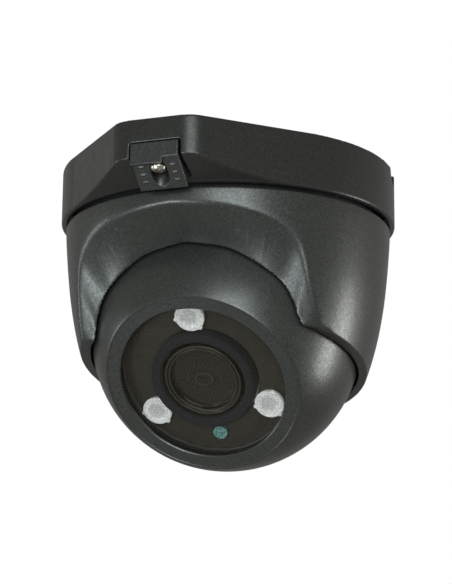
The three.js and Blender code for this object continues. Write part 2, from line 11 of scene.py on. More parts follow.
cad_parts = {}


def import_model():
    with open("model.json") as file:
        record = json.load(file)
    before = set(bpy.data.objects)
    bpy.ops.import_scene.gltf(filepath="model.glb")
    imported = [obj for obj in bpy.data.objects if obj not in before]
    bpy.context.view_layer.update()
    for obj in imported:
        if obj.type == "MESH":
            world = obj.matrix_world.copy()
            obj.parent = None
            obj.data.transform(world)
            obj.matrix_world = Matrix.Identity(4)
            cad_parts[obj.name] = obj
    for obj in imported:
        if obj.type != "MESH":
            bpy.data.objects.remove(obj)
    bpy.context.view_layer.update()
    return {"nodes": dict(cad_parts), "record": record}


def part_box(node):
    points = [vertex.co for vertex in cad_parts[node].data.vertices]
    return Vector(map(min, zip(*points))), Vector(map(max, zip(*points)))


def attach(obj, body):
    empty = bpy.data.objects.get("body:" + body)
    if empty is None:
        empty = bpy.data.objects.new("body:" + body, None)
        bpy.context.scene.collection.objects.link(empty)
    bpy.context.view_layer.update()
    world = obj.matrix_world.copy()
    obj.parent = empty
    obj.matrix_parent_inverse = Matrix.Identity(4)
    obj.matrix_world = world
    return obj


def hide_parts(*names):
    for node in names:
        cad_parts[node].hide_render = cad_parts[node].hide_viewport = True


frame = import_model()

MM = 0.001
AROUND = 192  # segments round a visible turned piece

# ---- Sizes, in millimetres in the row frame ---------------------------------------------------

BASE_LOW, BASE_HIGH = (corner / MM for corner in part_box("mounting_base"))
BASE_RADIUS = BASE_HIGH.x
BASE_BOTTOM = BASE_LOW.z
NOSE_FRONT = -BASE_LOW.y
NOSE_CORNER = 10
NOSE_SLOPE = 0.47
WALL_INSIDE = 57
ROOF = 3.2
LEDGE_RADIUS, LEDGE_BOTTOM, LEDGE_TOP = 55.2, -16.5, -13.5
CABLE_HOLE = 11
CABLE_NOTCH_AZIMUTH, CABLE_NOTCH_RADIUS = 99, 5
CEILING_SCREWS, CEILING_SCREW_CIRCLE, CEILING_SCREW_HOLE = 3, 45, 2.4
GASKET_OUTER, GASKET_INNER = 54.4, 50.6

CLIP_NOTCH_HALF, CLIP_NOTCH_TOP, CLIP_NOTCH_BACK = 9, -8, 60.3
CLIP_LEFT, CLIP_RIGHT, CLIP_TOP, CLIP_BACK = -8.6, 8.1, -8.3, 60.6
SLOPE_FRONT, SLOPE_BACK = -13.5, -21.5
SLOT_RADIUS, SLOT_BACK, SLOT_TOP = 2.9, -64.9, -14.9
CLIP_SCREW_Y, CLIP_SCREW_HOLE = -67, 1.8
SCREW_HEAD_TOP, SCREW_HEAD_HEIGHT, SCREW_HEAD = -15.6, 1.8, 2.75

COVER_TOP = (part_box("turret_cover")[1] / MM).z
COVER_PROFILE = [
    (57.6, -20.4), (57.4, -25.5), (56.5, -36.4), (55.2, -47.4), (53.2, -58.3),
    (50.9, -67), (48.9, -73), (46.4, -80), (45, -83),
]
HOOD_OUTER = [
    (0, -24.9), (16, -26.2), (28, -28.8), (34.5, -31.4), (38.8, -35.6), (40.4, -41),
    (41.4, -49), (42.4, -58), (43, -63), (43.6, -73), (44, -90),
]
HOOD_INNER = [
    (0, -35.1), (14, -37.8), (22, -41.9), (28, -46.2), (32, -50), (34.6, -55),
    (36, -60), (37.2, -64), (38, -70), (38.4, -80), (38.6, -96),
]
RIM_HEIGHT = -70.2
RIM_SLOPE = -0.22
BORE_FRONT = -30.6  # how far forward the bore is as wide as the ball
RETAINER_STEP, RETAINER_DEPTH = 52.4, 4.6

BALL_CENTRE = -57.8
BALL_RADIUS = 47.5
SEAT_GAP = 0.7
FACE = 33
REAR = -34
WALL = 2.5
OPENING = 28.9
SHELL_SCREWS, SHELL_SCREW_CIRCLE, SHELL_SCREW_HOLE = 4, 27.5, 1.7
LAMPS, LAMP_CIRCLE = 3, 23.6
PHOTOCELL_Y = -22.4
LENS_OFFSET = (-0.9, -0.7, 0)
TILT = 42
BALL_MATRIX = (
    Matrix.Translation((0, 0, BALL_CENTRE * MM)) @ Matrix.Rotation(math.radians(90 + TILT), 4, "X")
)


# ---- Node materials ---------------------------------------------------------------------------


class Surface:
    """A Principled material with helpers for procedural detail."""

    def __init__(self, name, color, roughness, **sockets):
        self.material = bpy.data.materials.new(name)
        self.material.use_nodes = True
        self.tree = self.material.node_tree
        self.shader = self.tree.nodes["Principled BSDF"]
        self.color = (*color, 1.0)
        self.shader.inputs["Base Color"].default_value = self.color
        self.shader.inputs["Roughness"].default_value = roughness
        for socket, value in sockets.items():
            self.shader.inputs[socket.replace("_", " ")].default_value = value
        self.coordinates = self.tree.nodes.new("ShaderNodeTexCoord").outputs["Object"]

    def link(self, output, socket):
        self.tree.links.new(output, socket)

    def noise(self, size_mm, detail=3.0, stretch=None):
        node = self.tree.nodes.new("ShaderNodeTexNoise")
        node.inputs["Scale"].default_value = 1 / (size_mm * MM)
        node.inputs["Detail"].default_value = detail
        self.link(self.mapped(stretch), node.inputs["Vector"])
        return node.outputs["Fac"]

    def mapped(self, stretch):
        if stretch is None:
            return self.coordinates
        node = self.tree.nodes.new("ShaderNodeMapping")
        node.inputs["Scale"].default_value = stretch
        self.link(self.coordinates, node.inputs["Vector"])
        return node.outputs["Vector"]

    def cells(self, size_mm, output="Color"):
        node = self.tree.nodes.new("ShaderNodeTexVoronoi")
        node.inputs["Scale"].default_value = 1 / (size_mm * MM)
        self.link(self.coordinates, node.inputs["Vector"])
        return node.outputs[output]

    def grey(self, color_output):
        node = self.tree.nodes.new("ShaderNodeRGBToBW")
        self.link(color_output, node.inputs[0])
        return node.outputs[0]

    def spread(self, value, low, high, from_low=0.0, from_high=1.0):
        node = self.tree.nodes.new("ShaderNodeMapRange")
        node.inputs["From Min"].default_value = from_low
        node.inputs["From Max"].default_value = from_high
        node.inputs["To Min"].default_value = low
        node.inputs["To Max"].default_value = high
        self.link(value, node.inputs["Value"])
        return node.outputs["Result"]

    def mix(self, share, first, second):
        node = self.tree.nodes.new("ShaderNodeMix")
        node.data_type = "RGBA"
        self.link(share, node.inputs["Factor"])
        for index, value in ((6, first), (7, second)):
            if isinstance(value, tuple):
                node.inputs[index].default_value = (*value[:3], 1.0)
            else:
                self.link(value, node.inputs[index])
        return node.outputs[2]

    def paint(self, color_output):
        self.link(color_output, self.shader.inputs["Base Color"])
        return color_output

    def rough(self, value, low, high, from_low=0.3, from_high=0.7):
        self.link(self.spread(value, low, high, from_low, from_high), self.shader.inputs["Roughness"])

    def bump(self, height, depth_mm, strength=1.0):
        node = self.tree.nodes.new("ShaderNodeBump")
        node.inputs["Distance"].default_value = depth_mm * MM
        node.inputs["Strength"].default_value = strength
        self.link(height, node.inputs["Height"])
        previous = self.shader.inputs["Normal"]
        if previous.is_linked:
            self.link(previous.links[0].from_socket, node.inputs["Normal"])
        self.link(node.outputs["Normal"], previous)

    def painted_edge_highlight(self, base, bright, low=0.57, high=0.70):
        """Painted highlight: lighter paint along the outward edges, where light would catch them, broken up
        by noise.
        """
        edges = self.tree.nodes.new("ShaderNodeNewGeometry").outputs["Pointiness"]
        node = self.tree.nodes.new("ShaderNodeMath")
        node.operation = "MULTIPLY"
        self.link(self.spread(edges, 0, 1, low, high), node.inputs[0])
        self.link(self.spread(self.noise(3.0), 0.35, 1.0, 0.35, 0.65), node.inputs[1])
        return self.mix(node.outputs[0], base, bright)


def metallic_paint(name, color, flake, roughness):
    """Satin dark paint with fine metallic flakes, slight orange peel and a painted highlight along the
    edges.
    """
    made = Surface(name, color, roughness, Metallic=0.75, Coat_Weight=0.25, Coat_Roughness=0.22)
    flakes = made.spread(made.grey(made.cells(0.2)), 0, 1, 0.4, 0.9)
    speckled = made.mix(flakes, tuple(color), tuple(flake))
    clouds = made.spread(made.noise(14.0), 0, 0.35, 0.35, 0.7)
    clouded = made.mix(clouds, speckled, tuple(c * 1.25 for c in color))
    # the paint is lighter along the outward edges: a painted edge highlight
    made.paint(made.painted_edge_highlight(clouded, tuple(c * 1.15 for c in flake)))
    made.rough(made.noise(1.2), roughness - 0.05, roughness + 0.06)
    made.bump(made.noise(0.9, 2.0), 0.01)
    made.bump(made.grey(made.cells(0.2)), 0.004)
    return made.material


def plain_plastic(name, color, roughness, grain_mm=0.35, depth_mm=0.01):
    made = Surface(name, color, roughness)
    shade = made.spread(made.noise(6.0), 0, 1, 0.3, 0.7)
    darker, lighter = tuple(c * 0.85 for c in color), tuple(min(1, c * 1.15) for c in color)
    made.paint(made.mix(shade, darker, lighter))
    made.rough(made.noise(2.0), max(0.05, roughness - 0.06), min(1, roughness + 0.06))
    made.bump(made.noise(grain_mm), depth_mm)
    return made.material


def brushed_metal(name, color, roughness, stretch=(1, 1, 14)):
    made = Surface(name, color, roughness, Metallic=1.0)
    streaks = made.noise(0.8, 4.0, stretch)
    made.paint(made.mix(streaks, tuple(c * 0.8 for c in color), tuple(min(1, c * 1.1) for c in color)))
    made.rough(streaks, roughness - 0.08, roughness + 0.12)
    made.bump(streaks, 0.008)
    return made.material


def foam_material():
    made = Surface("foam", (0.010, 0.012, 0.016), 0.9, Sheen_Weight=0.03)
    cells = made.cells(0.28, "Distance")
    made.paint(made.mix(made.spread(cells, 0, 1, 0.0, 0.6), (0.005, 0.006, 0.008), (0.014, 0.016, 0.021)))
    made.bump(cells, 0.06)
    made.bump(made.noise(1.6), 0.08)
    return made.material


def ringed(made, spacing, wobble):
    """Distance from the middle of the piece, disturbed by noise, and rings of it."""
    middle = made.tree.nodes.new("ShaderNodeVectorMath")
    middle.operation = "DISTANCE"
    middle.inputs[1].default_value = (0.5, 0.5, 0.5)
    made.link(made.tree.nodes["Texture Coordinate"].outputs["Generated"], middle.inputs[0])
    disturbed = made.tree.nodes.new("ShaderNodeMath")
    disturbed.operation = "MULTIPLY_ADD"
    made.link(made.noise(1.3, 3.0), disturbed.inputs[0])
    disturbed.inputs[1].default_value = wobble
    made.link(middle.outputs["Value"], disturbed.inputs[2])
    scaled = made.tree.nodes.new("ShaderNodeMath")
    scaled.operation = "MULTIPLY"
    scaled.inputs[1].default_value = 2 * math.pi / spacing
    made.link(disturbed.outputs[0], scaled.inputs[0])
    wave = made.tree.nodes.new("ShaderNodeMath")
    wave.operation = "SINE"
    made.link(scaled.outputs[0], wave.inputs[0])
    return disturbed.outputs[0], made.spread(wave.outputs[0], 0, 1, -1, 1)


def led_optic():
    """The clear array lens over a lamp: bright, with fine rings and facets round a darker middle, and it
    gives off a little painted light of its own.
    """
    made = Surface("led_optic", (0.74, 0.76, 0.75), 0.28, Coat_Weight=0.4, Coat_Roughness=0.1)
    distance, hatch = ringed(made, 0.085, 0.3)
    tone = made.mix(hatch, (0.62, 0.64, 0.62), (0.98, 0.99, 0.97))
    cone = made.spread(distance, 0.5, 0.0, 0.42, 0.5)
    toned = made.mix(cone, tone, (0.32, 0.33, 0.31))
    streaks = made.spread(made.noise(0.7, 3.0), 0, 0.5, 0.5, 0.66)
    painted_glow = made.paint(made.mix(streaks, toned, (0.40, 0.41, 0.39)))
    # painted light: the unlit lens is made to give off a little light of its own, to look brighter
    made.link(painted_glow, made.shader.inputs["Emission Color"])
    made.shader.inputs["Emission Strength"].default_value = 0.22
    made.bump(hatch, 0.05)
    return made.material


def smoked_window_material():
    """Thin smoked acrylic: its alpha is how much it dims what is behind it."""
    made = Surface("smoked_window", (0.070, 0.058, 0.034), 0.04, Alpha=0.08)
    made.rough(made.noise(9.0), 0.03, 0.07)
    made.bump(made.noise(22.0, 1.0), 0.01)
    return made.material


def lens_glass_material():
    """Dark coated glass, opaque: the elements behind it and the light they reflect are painted on it as
    thin lighter rings.
    """
    made = Surface("lens_glass", (0.020, 0.018, 0.015), 0.06, Coat_Weight=0.5, Coat_Roughness=0.03)
    distance, rings = ringed(made, 0.13, 0.03)
    inner = made.spread(distance, 1.0, 0.0, 0.12, 0.34)
    # painted reflections: lighter rings in the middle stand in for the inner elements and their glints
    painted_reflection_rings = made.mix(made.spread(rings, 0, 1, 0.80, 0.98), (0.014, 0.013, 0.010), (0.055, 0.052, 0.045))
    made.paint(made.mix(inner, (0.020, 0.018, 0.014), painted_reflection_rings))
    made.rough(made.noise(5.0), 0.05, 0.09)
    return made.material


def circuit_board_material(name, color):
    made = Surface(name, color, 0.45)
    traces = made.spread(made.cells(1.8, "Distance"), 0, 1, 0.25, 0.4)
    made.paint(made.mix(traces, tuple(color), tuple(min(1, c * 1.5 + 0.01) for c in color)))
    made.bump(traces, 0.03)
    return made.material


def coloured_gel(name, color):
    made = Surface(name, color, 0.3, Coat_Weight=0.5)
    dark, light = tuple(c * 0.45 for c in color), tuple(min(1, c * 1.5) for c in color)
    made.paint(made.mix(made.spread(made.noise(0.9), 0, 1, 0.35, 0.65), dark, light))
    made.bump(made.noise(0.6), 0.03)
    return made.material


MATERIALS = {
    "grey_paint": metallic_paint("grey_paint", (0.064, 0.068, 0.063), (0.142, 0.150, 0.142), 0.36),
    "base_paint": metallic_paint("base_paint", (0.046, 0.048, 0.044), (0.098, 0.102, 0.094), 0.36),
    "nickel": brushed_metal("nickel", (0.76, 0.72, 0.63), 0.28, (1, 1, 1)),
    "steel": brushed_metal("steel", (0.55, 0.56, 0.57), 0.35),
    "smoked_window": smoked_window_material(),
    "clear_lens": led_optic(),
    "lens_glass": lens_glass_material(),
    "black_plastic": plain_plastic("black_plastic", (0.018, 0.018, 0.020), 0.55),
    "mask_plastic": plain_plastic("mask_plastic", (0.034, 0.029, 0.020), 0.62),
    "white_plastic": plain_plastic("white_plastic", (0.72, 0.71, 0.67), 0.5),
    "foam": foam_material(),
    "rubber": plain_plastic("rubber", (0.016, 0.016, 0.016), 0.85, 0.5, 0.02),
    "teal_filter": coloured_gel("teal_filter", (0.17, 0.38, 0.35)),
    "circuit_board": circuit_board_material("circuit_board", (0.018, 0.085, 0.045)),
    "white_board": circuit_board_material("white_board", (0.6, 0.61, 0.58)),
    "chip": plain_plastic("chip", (0.02, 0.02, 0.022), 0.5),
    "led_yellow": coloured_gel("led_yellow", (0.7, 0.55, 0.12)),
    "anodised": brushed_metal("anodised", (0.11, 0.105, 0.092), 0.32),
    "bracket_alloy": brushed_metal("bracket_alloy", (0.5, 0.51, 0.52), 0.45),
}


# ---- Meshes -----------------------------------------------------------------------------------


def new_mesh(name, points, faces):
    """An object whose points are given in millimetres."""
    mesh = bpy.data.meshes.new(name)
    mesh.from_pydata([tuple(c * MM for c in p) for p in points], [], faces)
    mesh.validate()
    mesh.update()
    made = bpy.data.objects.new(name, mesh)
    bpy.context.scene.collection.objects.link(made)
    return made


def fillet(profile, radius, steps=4, closed=True):
    """The profile with each corner rounded by an arc, up to radius."""
    count = len(profile)
    rounded = []
    for i, corner in enumerate(profile):
        here = Vector(corner)
        if not closed and i in (0, count - 1):
            rounded.append(here)
            continue
        before = Vector(profile[i - 1]) - here
        after = Vector(profile[(i + 1) % count]) - here
        angle = before.angle(after)
        if angle > math.radians(165) or (here.x < 1e-6):
            rounded.append(here)
            continue
        cut = min(radius / math.tan(angle / 2), 0.4 * before.length, 0.4 * after.length)
        start, end = here + before.normalized() * cut, here + after.normalized() * cut
        for step in range(steps + 1):
            t = step / steps
            rounded.append(start.lerp(here, t).lerp(here.lerp(end, t), t))
    return [(p.x, p.y) for p in rounded]


def sphere_points(radius, low, high, steps):
    """Profile points on a sphere about the origin, from one height to another."""
    angles = np.linspace(math.asin(low / radius), math.asin(high / radius), steps + 1)
    return [(radius * math.cos(a), radius * math.sin(a)) for a in angles]


def turned(name, profile, segments=AROUND):
    """A closed solid of revolution about Z. A profile that starts on the axis also ends on it."""
    on_axis = profile[0][0] < 1e-6
    points, rows = [], []
    for r, z in profile:
        if r < 1e-6:
            rows.append([len(points)] * segments)
            points.append((0, 0, z))
            continue
        rows.append(list(range(len(points), len(points) + segments)))
        for k in range(segments):
            angle = 2 * math.pi * k / segments
            points.append((r * math.cos(angle), r * math.sin(angle), z))
    pairs = list(zip(rows, rows[1:])) + ([] if on_axis else [(rows[-1], rows[0])])
    faces = []
    for low, high in pairs:
        for k in range(segments):
            n = (k + 1) % segments
            ids = [low[k], low[n], high[n], high[k]]
            face = [v for j, v in enumerate(ids) if v != ids[j - 1]]
            if len(face) > 2:
                faces.append(face)
    made = new_mesh(name, points, faces)
    if signed_volume(made) < 0:
        made.data.flip_normals()
    return made


def signed_volume(made):
    mesh = made.data
    mesh.calc_loop_triangles()
    co = np.array([v.co for v in mesh.vertices])
    tri = np.array([t.vertices for t in mesh.loop_triangles])
    a, b, c = co[tri[:, 0]], co[tri[:, 1]], co[tri[:, 2]]
    return float(np.einsum("ij,ij->i", a, np.cross(b, c)).sum() / 6)


def box(low, high, name="cutter"):
    (x0, y0, z0), (x1, y1, z1) = low, high
    points = [(x, y, z) for x in (x0, x1) for y in (y0, y1) for z in (z0, z1)]
    faces = [(0, 1, 3, 2), (4, 6, 7, 5), (0, 4, 5, 1), (2, 3, 7, 6), (0, 2, 6, 4), (1, 5, 7, 3)]
    return new_mesh(name, points, faces)


def disc(radius, low, high, segments=96, name="cutter"):
    return turned(name, [(0, low), (radius, low), (radius, high), (0, high)], segments)


def ring(outer, inner, low, high, segments=AROUND, name="cutter"):
    return turned(name, [(inner, low), (outer, low), (outer, high), (inner, high)], segments)


def prism(outline, low, high, name="cutter"):
    count = len(outline)
    points = [(x, y, low) for x, y in outline] + [(x, y, high) for x, y in outline]
    faces = [tuple(reversed(range(count))), tuple(range(count, 2 * count))]
    faces += [(i, (i + 1) % count, (i + 1) % count + count, i + count) for i in range(count)]
    made = new_mesh(name, points, faces)
    if signed_volume(made) < 0:
        made.data.flip_normals()
    return made


def placed(made, matrix):
    made.data.transform(matrix)
    return made


def moved(made, x, y, z):
    return placed(made, Matrix.Translation((x * MM, y * MM, z * MM)))


def boolean(body, other, operation):
    """Joins, cuts or keeps the common part of two closed solids. The other one is used up."""
    modifier = body.modifiers.new("boolean", "BOOLEAN")
    modifier.operation = operation
    modifier.solver = "MANIFOLD"
    modifier.object = other
    bake(body)
    bpy.data.objects.remove(other)
    return body


def bake(made):
    """Replaces an object's mesh by what its modifiers make of it."""
    graph = bpy.context.evaluated_depsgraph_get()
    mesh = bpy.data.meshes.new_from_object(made.evaluated_get(graph))
    made.modifiers.clear()
    made.data = mesh
    return made


def cut(body, *others):
    for other in others:
        boolean(body, other, "DIFFERENCE")
    return body


def soften(body, voxel_mm, rounds):
    """Rounds every edge of a solid a little, as a casting's edges are: remeshes it and smooths it."""
    remesh = body.modifiers.new("remesh", "REMESH")
    remesh.mode = "VOXEL"
    remesh.voxel_size = voxel_mm * MM
    remesh.use_smooth_shade = True
    smooth = body.modifiers.new("smooth", "SMOOTH")
    smooth.factor = 0.5
    smooth.iterations = rounds
    return bake(body)


def round_along(body, points, reach_mm, rounds):
    """Smooths a solid further near a line of points, given in millimetres, to widen that edge's radius."""
    tree = KDTree(len(points))
    for index, point in enumerate(points):
        tree.insert(Vector(point) * MM, index)
    tree.balance()
    group = body.vertex_groups.new(name="edge")
    for vertex in body.data.vertices:
        distance = tree.find(vertex.co)[2] / MM
        if distance < reach_mm:
            group.add([vertex.index], min(1.0, 2 * (1 - distance / reach_mm)), "REPLACE")
    smooth = body.modifiers.new("smooth", "SMOOTH")
    smooth.factor = 0.5
    smooth.iterations = rounds
    smooth.vertex_group = "edge"
    bake(body)
    body.vertex_groups.clear()
    return body


def show(made, body, slot, *nodes, smooth_angle=None):
    """Makes a finished piece part of the object: it rides on a body and stands for CAD nodes."""
    made.name = made.data.name = nodes[0] + "_shape"
    made.data.materials.clear()
    made.data.materials.append(MATERIALS[slot])
    made.data.polygons.foreach_set("use_smooth", [True] * len(made.data.polygons))
    if smooth_angle is not None:
        made.data.set_sharp_from_angle(angle=math.radians(smooth_angle))
    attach(made, body)
    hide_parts(*nodes)
    return made


def around(azimuth, distance):
    angle = math.radians(azimuth)
    return distance * math.sin(angle), -distance * math.cos(angle)


def arc(x, y, radius, start, end, steps):
    angles = np.radians(np.linspace(start, end, steps + 1))
    return [(x + radius * math.cos(a), y + radius * math.sin(a)) for a in angles]


def spline(points, steps):
    """Points on a Catmull-Rom curve through the given ones, steps in all."""
    before = 2 * Vector(points[0]) - Vector(points[1])
    after = 2 * Vector(points[-1]) - Vector(points[-2])
    given = [before, *map(Vector, points), after]
    made = []
    for at in np.linspace(0, len(points) - 1, steps + 1):
        i = min(int(at), len(points) - 2)
        t = at - i
        p0, p1, p2, p3 = given[i : i + 4]
        square, cube = 2 * p0 - 5 * p1 + 4 * p2 - p3, 3 * p1 - p0 - 3 * p2 + p3
        made.append(0.5 * (2 * p1 + (p2 - p0) * t + square * t**2 + cube * t**3))
    return [(p.x, p.y) for p in made]


# ---- Mounting base, clip and screw ------------------------------------------------------------


def base_outline():
    corner_y = NOSE_FRONT - NOSE_CORNER
    corner_x = BASE_RADIUS * math.sqrt(2) - NOSE_FRONT - NOSE_CORNER * math.tan(math.pi / 8)
    return [
        *arc(corner_x, -corner_y, NOSE_CORNER, -90, -45, 16),
        *arc(0, 0, BASE_RADIUS, -45, 225, 200),
        *arc(-corner_x, -corner_y, NOSE_CORNER, -135, -90, 16),
    ]


def mounting_base():
    reach = 92
    underside = turned(
        "cutter",
        [(0, BASE_BOTTOM), (BASE_RADIUS - 0.5, BASE_BOTTOM), (BASE_RADIUS, BASE_BOTTOM + 0.4),
         (reach, BASE_BOTTOM + NOSE_SLOPE * (reach - BASE_RADIUS)), (reach, 0), (0, 0)],
    )
    body = boolean(prism(base_outline(), BASE_BOTTOM - 1, 0, "mounting_base_shape"), underside, "INTERSECT")
    cavity = turned(
        "cutter",
        [(0, BASE_BOTTOM - 1), (WALL_INSIDE, BASE_BOTTOM - 1), (WALL_INSIDE, LEDGE_BOTTOM),
         (LEDGE_RADIUS, LEDGE_BOTTOM), (LEDGE_RADIUS, LEDGE_TOP), (WALL_INSIDE, LEDGE_TOP),
         (WALL_INSIDE, -ROOF), (0, -ROOF)],
    )
    notch_turn = Matrix.Rotation(math.radians(CABLE_NOTCH_AZIMUTH - 90), 4, "Z")
    notch = placed(disc(CABLE_NOTCH_RADIUS, 47, 64), notch_turn @ Matrix.Rotation(math.radians(90), 4, "Y"))
    half, top = CLIP_NOTCH_HALF, CLIP_NOTCH_TOP
    clip_notch = box((-half, -NOSE_FRONT - 1, BASE_BOTTOM - 2), (half, -CLIP_NOTCH_BACK, top))
    cut(body, cavity, notch, disc(CABLE_HOLE, -10, 1), clip_notch)
    cut(
        body,
        moved(disc(CLIP_SCREW_HOLE, -9, -2.3, 32), 0, CLIP_SCREW_Y, 0),
        ring(GASKET_OUTER, GASKET_INNER, -1, 1),
    )
    for k in range(CEILING_SCREWS):
        x, y = around(60 + 360 / CEILING_SCREWS * k, CEILING_SCREW_CIRCLE)
        cut(body, moved(disc(CEILING_SCREW_HOLE, -10, 1, 48), x, y, 0))
    soften(body, 0.36, 4)
    edge = [(x, -NOSE_FRONT, top) for x in np.linspace(-half, half, 40)]
    edge += [(x, -NOSE_FRONT, z) for x in (-half, half) for z in np.linspace(top - 6, top, 16)]
    round_along(body, edge, 1.3, 14)
    return show(body, "base", "base_paint", "mounting_base")


def lock_clip():
    side = [(NOSE_FRONT, SLOPE_FRONT), (NOSE_FRONT, CLIP_TOP), (CLIP_BACK, CLIP_TOP),
            (CLIP_BACK, SLOPE_BACK), (CLIP_BACK + 0.6, SLOPE_BACK)]
    verts = [(x, -y, z) for x in (CLIP_LEFT, CLIP_RIGHT) for y, z in side]
    count = len(side)
    faces = [tuple(range(count)), tuple(reversed(range(count, 2 * count)))]
    faces += [(i + count, (i + 1) % count + count, (i + 1) % count, i) for i in range(count)]
    body = new_mesh("lock_clip_shape", verts, faces)
    if signed_volume(body) < 0:
        body.data.flip_normals()
    lip = box((CLIP_LEFT, -NOSE_FRONT, -15.6), (2.6, -NOSE_FRONT + 1.4, SLOPE_FRONT + 0.5))
    boolean(body, lip, "UNION")
    cut(
        body,
        moved(disc(SLOT_RADIUS, -23, SLOT_TOP, 64), 0, CLIP_SCREW_Y, 0),
        moved(disc(SLOT_RADIUS, -23, SLOT_TOP, 64), 0, SLOT_BACK, 0),
        box((-SLOT_RADIUS, CLIP_SCREW_Y, -23), (SLOT_RADIUS, SLOT_BACK, SLOT_TOP)),
        moved(disc(CLIP_SCREW_HOLE, -16, -7, 32), 0, CLIP_SCREW_Y, 0),
    )
    rise = (SLOPE_FRONT - SLOPE_BACK) / (NOSE_FRONT - CLIP_BACK - 0.6)
    for x in (-5.7, 5.4):
        for k in range(3):
            y = -68.2 + 2.3 * k
            rib = placed(disc(0.28, -0.9, 0.9, 24), Matrix.Rotation(math.radians(90), 4, "Y"))
            boolean(body, moved(rib, x, y, SLOPE_FRONT - (NOSE_FRONT + y) * rise), "UNION")
    return show(soften(body, 0.16, 3), "clip", "grey_paint", "lock_clip")


def clip_screw():
    top, height, head = SCREW_HEAD_TOP, SCREW_HEAD_HEIGHT, SCREW_HEAD
    corners = [(0, top - height), (head * 0.45, top - height), (head * 0.85, top - height * 0.75),
               (head, top - height * 0.3), (head, top), (1.5, top), (1.5, -3.2), (1.0, -2.6), (0, -2.6)]
    profile = fillet(corners, 0.25)
    body = turned("clip_screw_shape", profile, 64)
    for x, y in ((1.75, 0.36), (0.36, 1.75)):
        cut(body, box((-x, -y, top - height - 1), (x, y, top - height * 0.4)))
    cut(body, disc(0.62, top - height - 1, top - height * 0.25, 24))
    thread = [ring(1.8, 1.32, z, z + 0.22, 48) for z in np.arange(-14.6, -3.4, 0.5)]
    cut(body, *thread)
    return show(moved(body, 0, CLIP_SCREW_Y, 0), "clip_screw", "nickel", "clip_screw", smooth_angle=35)


# ---- Turret cover -----------------------------------------------------------------------------


def whole_edge(points):
    right = spline(points, 150)
    return [(-x, z) for x, z in reversed(right[1:])] + right


def hood_outer_edge():
    """The hood's outer edge, on the cover's surface."""
    heights = [z for _, z in COVER_PROFILE][::-1]
    radii = [r for r, _ in COVER_PROFILE][::-1]
    edge = []
    for x, z in whole_edge(HOOD_OUTER):
        radius = float(np.interp(max(z, -80), heights, radii))
        edge.append(Vector((x, -math.sqrt(max(radius**2 - x**2, 100)), z)))
    return edge


def hood_inner_edge():
    """The hood's inner edge, round the ball."""
    reach = BALL_RADIUS + SEAT_GAP
    return [
        Vector((x, -math.sqrt(max(reach**2 - x**2 - (z - BALL_CENTRE) ** 2, 30)), z))
        for x, z in whole_edge(HOOD_INNER)
    ]


def hood_cutter():
    """A solid whose side runs straight from the hood's inner edge to its outer edge, and past both."""
    inner, outer = hood_inner_edge(), hood_outer_edge()
    count = len(inner)
    points = [a.lerp(b, share) for share in (-0.35, 1.6) for a, b in zip(inner, outer)]
    points += [Vector((0, -20, BALL_CENTRE)), Vector((0, -120, BALL_CENTRE))]
    faces = []
    for a in range(count):
        b = (a + 1) % count
        faces += [(a, b, b + count, a + count), (2 * count, b, a), (2 * count + 1, a + count, b + count)]
    made = new_mesh("cutter", points, faces)
    if signed_volume(made) < 0:
        made.data.flip_normals()
    return made


def turret_cover():
    outer = spline(COVER_PROFILE, 64)
    body = turned("turret_cover_shape", [(0, COVER_TOP), *outer, (0, outer[-1][1])])
    reach = BALL_RADIUS + SEAT_GAP
    side = sphere_points(reach, -reach * 0.999, reach * 0.999, 96)
    sphere = turned("cutter", [(0, -reach), *side, (0, reach)])
    shaft = disc(reach, 0, COVER_TOP - BALL_CENTRE + 1, AROUND)
    cut(shaft, box((-60, -60, -1), (60, BORE_FRONT, 60)))
    boolean(sphere, shaft, "UNION")
    rim = placed(box((-80, -80, -60), (80, 80, 0)), Matrix.Rotation(math.atan(RIM_SLOPE), 4, "X"))
    cut(
        body,
        moved(sphere, 0, 0, BALL_CENTRE),
        disc(RETAINER_STEP, COVER_TOP - RETAINER_DEPTH, COVER_TOP + 1, AROUND),
        disc(41, -27.3, COVER_TOP, AROUND),
        hood_cutter(),
        moved(rim, 0, 0, RIM_HEIGHT),
    )
    soften(body, 0.36, 9)
    round_along(body, hood_outer_edge(), 5, 75)
    round_along(body, hood_inner_edge(), 1.6, 10)
    return show(body, "turret", "grey_paint", "turret_cover")


# ---- Ball -------------------------------------------------------------------------------------


def on_ball(made):
    return placed(made, BALL_MATRIX)


def on_lens(made):
    """The lens sits a little off the middle of the window."""
    return on_ball(moved(made, *LENS_OFFSET))


def ball_shells():
    inside = BALL_RADIUS - WALL
    seat = 31.8
    front = [*sphere_points(BALL_RADIUS, 0.2, FACE - 0.25, 60), (34.0, FACE + 0.05), (33.5, FACE + 0.05),
             (33.3, FACE - 0.12), (OPENING + 0.35, FACE - 0.12), (OPENING, FACE - 0.45), (OPENING, seat),
             *sphere_points(inside, 0.2, seat, 24)[::-1]]
    show(on_ball(turned("front", front, 256)), "ball", "grey_paint", "ball_front_shell", smooth_angle=28)
    plate = REAR + WALL
    rear = [(6.3, REAR), *sphere_points(BALL_RADIUS, REAR, -0.2, 60),
            *sphere_points(inside, plate, -0.2, 24)[::-1], (6.3, plate)]
    body = turned("rear", rear, 256)
    for k in range(SHELL_SCREWS):
        x, y = around(45 + 360 / SHELL_SCREWS * k, SHELL_SCREW_CIRCLE)
        cut(body, moved(disc(SHELL_SCREW_HOLE, REAR - 1, plate + 1, 32), x, y, 0))
    show(on_ball(body), "ball", "grey_paint", "ball_rear_shell", smooth_angle=28)


def window():
    profile = fillet([(0, 30.1), (31.2, 30.1), (31.2, 31.5), (0, 31.5)], 0.2, closed=False)
    show(on_ball(turned("window", profile)), "ball", "smoked_window", "window", smooth_angle=30)


def lens_shroud():
    profile = fillet([(14.8, 23.1), (18.3, 23.1), (18.3, 29.9), (14.8, 29.9)], 1.0, 6)
    show(on_lens(turned("shroud", profile)), "ball", "foam", "lens_shroud")


